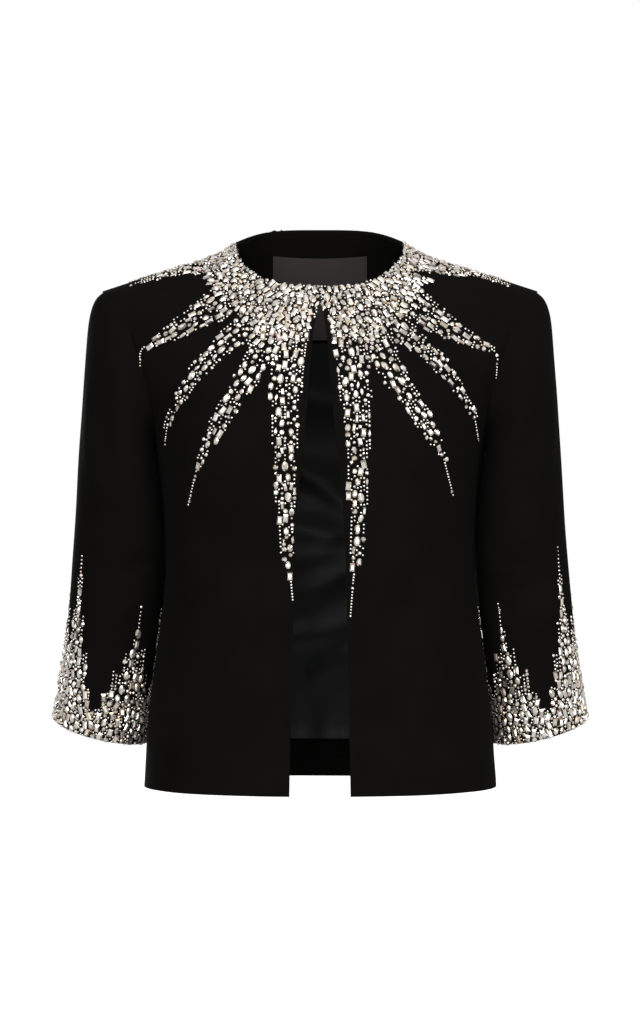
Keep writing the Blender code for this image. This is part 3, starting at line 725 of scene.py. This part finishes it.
class Embroidery:
    """Sews stones on cloth. It keeps what is sewn on, so that no two stones overlap."""

    def __init__(self, cloth, seed, middle, upward):
        self.tree, self.owners = tree_of(cloth)
        self.middle, self.upward = Vector(middle), upward
        self.random = np.random.default_rng(seed)
        self.cells = {}
        self.sewn = {piece.name: [] for piece in cloth}
        self.threads = []

    def nearest(self, point):
        place, normal, face, _ = self.tree.find_nearest(point)
        return place, normal, self.owners[face]

    def faces_out(self, place, normal):
        """Whether a place is on the outside of the cloth, and not on a cut edge."""
        out = place - self.middle
        out.z = 0
        out = out.normalized() + Vector((0, 0, self.upward))
        return normal.dot(out.normalized()) > FACING

    def seen_at(self, x, y, face):
        """What a pixel of the photograph shows, or the same pixel of a view from behind."""
        eye = Vector((0, -VIEW_DISTANCE * face, VIEW_CENTRE_Z))
        over = (IMAGE_HEIGHT / 2 - y) * METRES_PER_PIXEL
        aim = Vector(((x - IMAGE_WIDTH / 2) * METRES_PER_PIXEL, 0, VIEW_CENTRE_Z + over))
        place, normal, face_number, _ = self.tree.ray_cast(eye, aim - eye)
        return (place, normal, self.owners[face_number]) if place is not None else None

    def walk(self, start, way, length, band_share=math.inf, beyond="edge"):
        """A thread that walks over the cloth, and stops where the cloth ends. It begins in the band, and
        its last part is a tip."""
        aim = Vector(way)
        here, normal, owner = self.nearest(Vector(start))
        spots = []
        steps = max(1, int(length / WALK_STEP))
        for step in range(steps + 1):
            share = step / steps
            zone = "band" if share < band_share else beyond if share < TIP_FROM else "tip"
            way = (aim - normal * aim.dot(normal)).normalized()
            spots.append(Spot(here, normal, way, owner, zone))
            ahead = here + way * WALK_STEP
            here, turned, owner = self.nearest(ahead)
            if (here - ahead).length > WALK_STEP or turned.dot(normal) < SHARP_BEND:
                break
            normal = turned
        return spots

    def discs(self, stone, place, way):
        if stone.half_length < NEARLY_ROUND * stone.half_width:
            return [(place, stone.half_width)]
        reach = stone.half_length - stone.half_width
        both = [(place + way * reach, stone.half_width), (place - way * reach, stone.half_width)]
        return both if reach < stone.half_width else both + [(place, stone.half_width)]

    def free(self, discs):
        for place, radius in discs:
            for cell in product(*((part - 1, part, part + 1) for part in cell_of(place))):
                for other, size in self.cells.get(cell, ()):
                    if (other - place).length < radius + size + STONE_GAP:
                        return False
        return True

    def lies_flat(self, stone, place, normal, way):
        """Whether there is cloth under the whole stone, and no sharp bend."""
        side = normal.cross(way)
        ends = [way * stone.half_length, -way * stone.half_length]
        sides = [side * stone.half_width, -side * stone.half_width]
        return all(self.tree.find_nearest(place + reach)[3] < CLOTH_NEAR for reach in ends + sides)

    def sew(self, kind, spot, aside=0.0):
        """Sews one stone on, or returns False where there is no room for it."""
        place, normal, way, owner, zone = spot
        if aside:
            place, turned, owner = self.nearest(place + normal.cross(way) * aside)
            if turned.dot(normal) < SLIGHT_BEND:
                return False
            normal = turned
            way = (way - normal * way.dot(normal)).normalized()
        if not self.faces_out(place, normal):
            return False
        stone = STONES[kind]
        spin = float(self.random.uniform(-1, 1)) * SPIN[zone]
        way = way * math.cos(spin) + normal.cross(way) * math.sin(spin)
        discs = self.discs(stone, place, way)
        if not self.free(discs) or not self.lies_flat(stone, place, normal, way):
            return False
        for disc in discs:
            self.cells.setdefault(cell_of(disc[0]), []).append(disc)
        self.sewn[owner].append((kind, place, normal, way))
        return True

    def scatter(self):
        """Sews the stones on, the largest kinds first."""
        spots = [spot for thread in self.threads for spot in thread]
        zones = np.array([ZONES.index(spot.zone) for spot in spots])
        for kind, chances in CHANCES.items():
            tried = np.nonzero(self.random.random(len(spots)) < np.array(chances)[zones])[0]
            for number in self.random.permutation(tried):
                self.sew(kind, spots[number])

    def string(self):
        """Strings beads along every thread, wherever the stones leave room."""
        for thread in self.threads:
            pitch = float(self.random.uniform(*BEAD_PITCH))
            last = None
            for spot in thread:
                close = spot.zone == "tip" and not spot.owner.startswith("sleeve")
                apart = RAY_TIP_PITCH if close else pitch
                if last is None or (spot.place - last).length >= apart:
                    skipped = self.random.random() < SKIPPED[spot.zone]
                    last = spot.place if skipped or self.sew("seed", spot) else last

    def fill(self):
        """Sews loose beads into the gaps beside the threads, the larger ones first."""
        for kind in BEADS:
            for thread in self.threads:
                for spot in thread:
                    if self.random.random() < LOOSE_BEADS[spot.zone]:
                        self.sew(kind, spot, THREAD_PITCH * float(self.random.uniform(-0.5, 0.5)))

    def embroider(self):
        self.scatter()
        self.string()
        self.fill()

    def piece(self, owner, name, shapes, finish):
        """All stones on one cloth as one joined mesh, each facet's colour painted with its share of light:
        painted reflection, a painted highlight on the tables and painted shade on the girdles.
        """
        points, faces, colours, smooth = [], [], [], []
        start = 0
        # tints of painted reflection: the pale room, the dark cloth, and the glass's own warm tints
        glass = np.array([linear(colour)[:3] for colour in PAINTED_REFLECTION_TINTS])
        often = np.array(list(PAINTED_REFLECTION_TINTS.values())) / sum(PAINTED_REFLECTION_TINTS.values())
        for kind, place, normal, way in self.sewn[owner]:
            shape, shape_faces, lean = shapes[kind]
            stone = STONES[kind]
            tip = self.random.uniform(-TILT, TILT, 2) * (BEAD_TILT_SHARE if kind in BEADS else 1.0)
            up = (normal + way * float(tip[0]) + normal.cross(way) * float(tip[1])).normalized()
            along = (way - up * way.dot(up)).normalized()
            axes = np.array([
                along.cross(up) * stone.half_width, along * stone.half_length, up * stone.height,
            ])
            points.append(shape @ axes + np.array(place))
            faces += [tuple(start + corner for corner in face) for face in shape_faces]
            start += len(shape)
            count = len(shape_faces)
            # each facet is painted with a reflected tint and a painted brightness
            reflected_tints = glass[self.random.choice(len(glass), size=count, p=often)]
            light = self.random.uniform(*PAINTED_FACET_LIGHT, count)
            if kind in BEADS:
                reflected_tints, light = reflected_tints[:1], np.full(count, self.random.uniform(*PAINTED_BEAD_LIGHT))
            # upright girdles are painted darker as shade, and flat tables painted whiter as a highlight
            light = np.where(np.abs(lean) < UPRIGHT, PAINTED_GIRDLE_SHADE * light, light)
            tables = np.where(lean > FLAT, PAINTED_TABLE_HIGHLIGHT, 0.0)[:, None]
            for face, shade in zip(shape_faces, light[:, None] * (tables + (1 - tables) * reflected_tints)):
                colours += [(*shade, 1.0)] * len(face)
            smooth += [kind in BEADS] * count
        mesh = bpy.data.meshes.new(name)
        mesh.from_pydata(np.concatenate(points).tolist(), [], faces)
        painted_facet_reflection = mesh.color_attributes.new("painted_facet_reflection", "FLOAT_COLOR", "CORNER")
        painted_facet_reflection.data.foreach_set("color", np.array(colours).ravel())
        mesh.polygons.foreach_set("use_smooth", smooth)
        mesh.materials.append(finish)
        mesh.update()
        made = bpy.data.objects.new(name, mesh)
        bpy.context.scene.collection.objects.link(made)
        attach(made, "root")
        return made


def cell_of(point):
    return tuple(math.floor(part / HASH_CELL) for part in point)


def neckline_point(turn, face):
    """x and z where the neckline is crossed, at a turn from straight down round the burst's centre."""
    angle = np.linspace(0, 1, NECK_SAMPLES) * math.pi / 2
    if face > 0:
        x = NECK_HALF_WIDTH * np.sin(angle) ** (2 / FRONT_NECK_SQUARENESS)
        rise = np.cos(angle) ** (2 / FRONT_NECK_SQUARENESS)
        z = NECK_CORNER_Z + (FRONT_NECK_Z - NECK_CORNER_Z) * rise
        centre = BURST_CENTRE_Z
    else:
        x = NECK_HALF_WIDTH * np.sin(angle)
        z = NECK_CORNER_Z + (NAPE_Z - NECK_CORNER_Z) * (1 - np.sin(angle) ** NAPE_FLATNESS)
        centre = BACK_BURST_CENTRE_Z
    turns = np.degrees(np.arctan2(x, centre - z))
    return np.array([np.interp(turn, turns, x), np.interp(turn, turns, z) - centre]), centre


def sew_band(sewing, face, side, depth, names):
    """Short threads side by side all round the neck."""
    turns = np.linspace(0, FRONT_BAND_TURN if face > 0 else BACK_BAND_TURN, BAND_SAMPLES)
    line = np.array([neckline_point(turn, face)[0] for turn in turns])
    reached = np.concatenate([[0], np.cumsum(np.linalg.norm(np.diff(line, axis=0), axis=1))])
    for along in np.arange(THREAD_PITCH / 2, reached[-1], THREAD_PITCH):
        turn = float(np.interp(along, reached, turns))
        out, centre = neckline_point(turn, face)
        for gap in np.arange(EDGE_GAP if face > 0 else BACK_EDGE_GAP, SEARCHED, WALK_STEP):
            x, z = out * (1 + gap / np.linalg.norm(out))
            eye = Vector((side * x, -OUTSIDE * face, z + centre))
            start, normal, number, _ = sewing.tree.ray_cast(eye, Vector((0, face, 0)))
            if not start or sewing.owners[number] not in names:
                continue
            if normal.y * face < -TOWARDS or normal.z > UPWARD:
                angle = math.radians(min(turn, STEEPEST_TURN))
                way = (side * math.sin(angle), 0.0, -math.cos(angle))
                length = depth * float(sewing.random.uniform(*BAND_EDGE))
                sewing.threads.append(sewing.walk(start, way, length))
                break


def sew_ray(sewing, ray, side, face, names):
    """Parallel threads, each as long as the ray is wide enough for it, so that the ray narrows in steps."""
    x, y, width = np.array(ray.places, float).T
    reached = np.concatenate([[0], np.cumsum(np.hypot(np.diff(x), np.diff(y)))])
    along = np.arange(0, reached[-1])
    width = np.interp(along, reached, width)
    shift = along / along[-1]
    x, y = (smoothed(np.interp(along, reached, part)) for part in (x, y))
    if side * face > 0:
        bend = 4 * shift * (1 - shift)
        x = IMAGE_WIDTH - x + shift * ray.tip_shift[0] + bend * ray.bow[0]
        y = y + shift * ray.tip_shift[1] + bend * ray.bow[1]
    slope = np.stack([np.gradient(x), np.gradient(y)])
    slope /= np.linalg.norm(slope, axis=0)
    middle = sewing.seen_at(x[len(x) // 3], y[len(x) // 3], face)
    slant = max(abs(middle[1].y), STEEPEST) if middle else 1.0
    pitch = THREAD_PITCH * slant / METRES_PER_PIXEL
    count = int(width.max() / pitch)
    for offset in np.arange(-count, count + 1) * pitch:
        last = np.nonzero(width >= abs(offset))[0][-1]
        last -= int(sewing.random.integers(0, STEPPED)) if offset and last > 2 * STEPPED else 0
        found = []
        for here in range(last + 1):
            seen = sewing.seen_at(x[here] - slope[1, here] * offset, y[here] + slope[0, here] * offset, face)
            if seen and seen[2] in names and seen[1].y * face < 0:
                found.append((here, *seen))
        spots = []
        for (here, place, normal, owner), ahead in zip(found, found[1:]):
            way = (ahead[1] - place).normalized()
            zone = "core" if abs(offset) < EDGE_SHARE * width[here] else "edge"
            if width[here] < TIP_HALF_WIDTH:
                zone = "tip"
            elif here < BAND_PIXELS * slant:
                zone = "band"
            spots.append(Spot(place, normal, way, owner, zone))
        sewing.threads.append(spots)


def smoothed(line):
    """A line of values with its corners rounded."""
    half = LINE_SMOOTHING // 2
    padded = np.concatenate([np.full(half, line[0]), line, np.full(half, line[-1])])
    return np.convolve(padded, np.ones(LINE_SMOOTHING) / LINE_SMOOTHING, mode="valid")


def sew_shoulder(sewing, side):
    """A ray out along the shoulder seam, over its front and its back."""
    count = int(SHOULDER_HALF_WIDTH / SHOULDER_PITCH)
    way = (side * math.sin(SHOULDER_WAY), 0.0, -math.cos(SHOULDER_WAY))
    for aside in np.arange(-count, count + 1) * SHOULDER_PITCH:
        keep = 1 - abs(aside) / (SHOULDER_HALF_WIDTH + SHOULDER_PITCH)
        length = SHOULDER_LENGTH * keep * float(sewing.random.uniform(*SHOULDER_EDGE))
        above = Vector((side * (NECK_HALF_WIDTH + EDGE_GAP), aside, ABOVE))
        start = sewing.tree.ray_cast(above, Vector((0, 0, -1)))[0]
        if start is not None:
            sewing.threads.append(sewing.walk(start, way, length, SHOULDER_BAND / length))


def cuff_height(turn, random, band):
    """Height of the stones over the cuff at a turn round it, in degrees."""
    found = band
    for spike in CUFF_SPIKES:
        off = abs((turn - spike.turn + 180) % 360 - 180)
        if off < spike.half_turn:
            step = SPIKE_STEP * round(off / SPIKE_STEP) / spike.half_turn
            share = 1.0 if off < SPIKE_TIP else SPIKE_FLANK * max(1 - step, 0) ** SPIKE_SHARPNESS
            found = max(found, band + (spike.height - band) * share)
    return found * float(random.uniform(*SPIKE_EDGE))


class JACKET_OT_stage(bpy.types.Operator):
    """Adds the camera, the studio lights and the pale floor"""

    bl_idname = "jacket.stage"
    bl_label = "Stage"

    def execute(self, context):
        stage, scene = context.scene.jacket_stage, context.scene
        view = bpy.data.cameras.new("camera")
        camera = bpy.data.objects.new("camera", view)
        camera.location = (0, -stage.distance, VIEW_CENTRE_Z)
        camera.rotation_euler = (math.pi / 2, 0, 0)
        view.sensor_width = 36.0
        view.lens = view.sensor_width * stage.distance / (IMAGE_HEIGHT * METRES_PER_PIXEL)
        scene.collection.objects.link(camera)
        scene.camera = camera
        scene.view_settings.view_transform = "Standard"

        for name, place, size, power in (
            ("key_light", (-0.7, -2.6, 0.8), 2.3, stage.key),
            ("fill_light", (1.6, -2.1, 0.0), 2.2, stage.fill),
            ("top_light", (0.2, -0.2, 2.0), 1.6, stage.top),
            ("back_light", (-0.8, 2.6, 0.0), 1.6, stage.back),
        ):
            lamp = bpy.data.lights.new(name, "AREA")
            lamp.shape, lamp.size, lamp.energy = "SQUARE", size, power
            light = bpy.data.objects.new(name, lamp)
            light.location = place
            aim = Vector((0, 0, VIEW_CENTRE_Z)) - Vector(place)
            light.rotation_euler = aim.to_track_quat("-Z", "Y").to_euler()
            scene.collection.objects.link(light)

        world = bpy.data.worlds.new("studio")
        world.use_nodes = True
        scene.world = world
        tree = world.node_tree
        tree.nodes.clear()
        path = add_node(tree, "ShaderNodeLightPath")
        shown, glint, plain = (
            add_node(tree, "ShaderNodeBackground", {"Color": WHITE, "Strength": strength}).outputs[0]
            for strength in (stage.room, stage.glint, 1.0)
        )
        for ray, instead in (("Is Glossy Ray", glint), ("Is Camera Ray", plain)):
            links = {0: path.outputs[ray], 1: shown, 2: instead}
            shown = add_node(tree, "ShaderNodeMixShader", links=links).outputs[0]
        add_node(tree, "ShaderNodeOutputWorld", links={"Surface": shown})

        deselect_all()
        bpy.ops.mesh.primitive_plane_add(size=16, location=(0, 0, stage.floor_z))
        floor = context.object
        floor.name = "floor"
        made, _, _ = new_material(
            "pale_floor", Base_Color=(0.9, 0.9, 0.9, 1), Roughness=1.0,
            Emission_Color=WHITE, Emission_Strength=1.1,
        )
        floor.data.materials.append(made)
        floor.visible_diffuse = floor.visible_glossy = False
        return {"FINISHED"}


class JACKET_OT_body(bpy.types.Operator):
    """Makes the crepe of the two fronts and the back"""

    bl_idname = "jacket.body"
    bl_label = "Fronts and back"

    def execute(self, context):
        finish = crepe_material(context.scene.jacket_cloth)
        for node in ("front_left", "front_right", "back"):
            dress(context, node, f"{node}_crepe", "crepe", finish, crease_body)
        return {"FINISHED"}


class JACKET_OT_sleeves(bpy.types.Operator):
    """Makes the crepe of the two sleeves"""

    bl_idname = "jacket.sleeves"
    bl_label = "Sleeves"

    def execute(self, context):
        finish = bpy.data.materials["pebbled_crepe"]
        for node in ("sleeve_left", "sleeve_right"):
            dress(context, node, f"{node}_crepe", "crepe", finish, crease_sleeve)
        return {"FINISHED"}


class JACKET_OT_inside(bpy.types.Operator):
    """Makes the facing, the loose satin lining and the turned-up hem inside the back"""

    bl_idname = "jacket.inside"
    bl_label = "Inside of the back"

    def execute(self, context):
        cloth = context.scene.jacket_cloth
        crepe = bpy.data.materials["pebbled_crepe"]
        satin = satin_material("lining_satin", cloth.lining, cloth.satin_rib, LINING_GLOSS)
        for step in (
            ("back_neck_facing", "neck_facing_crepe", "crepe", crepe, crease_facing),
            ("back_hem_facing", "hem_turn_up_crepe", "crepe", crepe, crease_body),
            ("back_lining", "back_lining_satin", "lining", satin, crease_lining),
        ):
            dress(context, *step)
        return {"FINISHED"}


class JACKET_OT_label(bpy.types.Operator):
    """Makes the blank satin label"""

    bl_idname = "jacket.label"
    bl_label = "Blank label"

    def execute(self, context):
        cloth = context.scene.jacket_cloth
        finish = satin_material("label_satin", cloth.label, LABEL_RIB * cloth.satin_rib, LABEL_GLOSS)
        dress(context, "neck_label", "blank_label_satin", "label", finish, crease_label)
        return {"FINISHED"}


class JACKET_OT_closure(bpy.types.Operator):
    """Finishes the hook and the eye"""

    bl_idname = "jacket.closure"
    bl_label = "Hook and eye"

    def execute(self, context):
        finish = steel_material()
        for node in ("hook", "eye"):
            finish_piece(copy_of(node, f"{node}_wire"), node, finish)
        return {"FINISHED"}


class JACKET_OT_neck_stones(bpy.types.Operator):
    """Sews the collar band and the rays of stones on the fronts and the back"""

    bl_idname = "jacket.neck_stones"
    bl_label = "Neck stones"

    def execute(self, context):
        stones = context.scene.jacket_stones
        names = ("front_left", "front_right", "back")
        cloth = [bpy.data.objects[f"{name}_crepe"] for name in names]
        sewing = Embroidery(cloth, stones.seed, middle=(0, 0, 0), upward=0.6)
        on_front, on_back = ("front_left_crepe", "front_right_crepe"), ("back_crepe",)
        for side in (1, -1):
            sew_shoulder(sewing, side)
            for face in (1, -1):
                sew_band(sewing, face, side, stones.band, on_front if face > 0 else on_back)
            for ray in FRONT_RAYS:
                sew_ray(sewing, ray, side, 1, on_front)
            for ray in BACK_RAYS[0 if side > 0 else 1 :]:
                sew_ray(sewing, ray, side, -1, on_back)
        sewing.embroider()
        shapes = {kind: stone_shape(kind) for kind in STONES}
        finish = crystal_material()
        for name in names:
            sewing.piece(f"{name}_crepe", f"{name}_stones", shapes, finish)
        return {"FINISHED"}


class JACKET_OT_cuff_stones(bpy.types.Operator):
    """Sews the bands and the rising spikes of stones on the cuffs"""

    bl_idname = "jacket.cuff_stones"
    bl_label = "Cuff stones"

    def execute(self, context):
        stones = context.scene.jacket_stones
        shapes = {kind: stone_shape(kind) for kind in STONES}
        finish = bpy.data.materials["foiled_crystal"]
        for name, side in (("sleeve_left", 1), ("sleeve_right", -1)):
            cloth = bpy.data.objects[f"{name}_crepe"]
            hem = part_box(name)[0].z
            points = points_of(cloth)
            middle = middle_of(points[points[:, 2] < hem + CUFF_DEEP])
            sewing = Embroidery([cloth], stones.seed + 10 + side, middle, upward=0.0)
            above = Vector((middle[0], middle[1], hem + CUFF_MIDDLE))
            down = (side * CUFF_SLOPE[0], CUFF_SLOPE[1], -1)
            up = tuple(-part for part in down)
            count = int(2 * math.pi * SLEEVE_RADIUS / THREAD_PITCH)
            for number in range(count):
                turn = 360 * number / count
                angle = math.radians(turn)
                out = Vector((side * math.sin(angle), -math.cos(angle), 0))
                hit = sewing.tree.ray_cast(above + out * OUTSIDE_CUFF, -out)[0]
                if hit is None:
                    continue
                fallen = sewing.walk(hit, down, CUFF_DEPTH)
                foot = next((spot for spot in reversed(fallen) if spot.normal.z > -UPWARD), fallen[0])
                start = foot.place - foot.way * EDGE_GAP
                height = cuff_height(turn, sewing.random, stones.cuff_band)
                share = min(CUFF_BAND_SHARE * stones.cuff_band / height, CUFF_BAND_MOST)
                sewing.threads.append(sewing.walk(start, up, height, share, "spike"))
            sewing.embroider()
            sewing.piece(f"{name}_crepe", f"{name}_stones", shapes, finish)
        return {"FINISHED"}


class JACKET_OT_declare(bpy.types.Operator):
    """Does nothing: no flat cut of the cloth is stated"""

    bl_idname = "jacket.declare"
    bl_label = "Cut of the cloth"

    def execute(self, context):
        return {"FINISHED"}


class JACKET_PT_panel(bpy.types.Panel):
    """Lists the sizes and the steps in the sidebar"""

    bl_idname = "JACKET_PT_panel"
    bl_label = "Bolero jacket"
    bl_space_type = "VIEW_3D"
    bl_region_type = "UI"
    bl_category = "Jacket"

    def draw(self, context):
        scene = context.scene
        for settings in (scene.jacket_stage, scene.jacket_cloth, scene.jacket_stones):
            box = self.layout.box()
            for name in settings.__annotations__:
                box.prop(settings, name)
        for step in STEPS:
            self.layout.operator(step.bl_idname)


STEPS = (
    JACKET_OT_stage,
    JACKET_OT_body,
    JACKET_OT_sleeves,
    JACKET_OT_inside,
    JACKET_OT_label,
    JACKET_OT_closure,
    JACKET_OT_neck_stones,
    JACKET_OT_cuff_stones,
    JACKET_OT_declare,
)
SETTINGS = {"jacket_cloth": JacketCloth, "jacket_stones": JacketStones, "jacket_stage": JacketStage}


def register():
    for made in (*SETTINGS.values(), *STEPS, JACKET_PT_panel):
        bpy.utils.register_class(made)
    for name, settings in SETTINGS.items():
        setattr(bpy.types.Scene, name, PointerProperty(type=settings))


def unregister():
    for name in SETTINGS:
        delattr(bpy.types.Scene, name)
    for made in (JACKET_PT_panel, *reversed(STEPS), *reversed(SETTINGS.values())):
        bpy.utils.unregister_class(made)


def main():
    register()
    for step in STEPS:
        group, name = step.bl_idname.split(".")
        getattr(getattr(bpy.ops, group), name)()


if __name__ == "__main__":
    main()
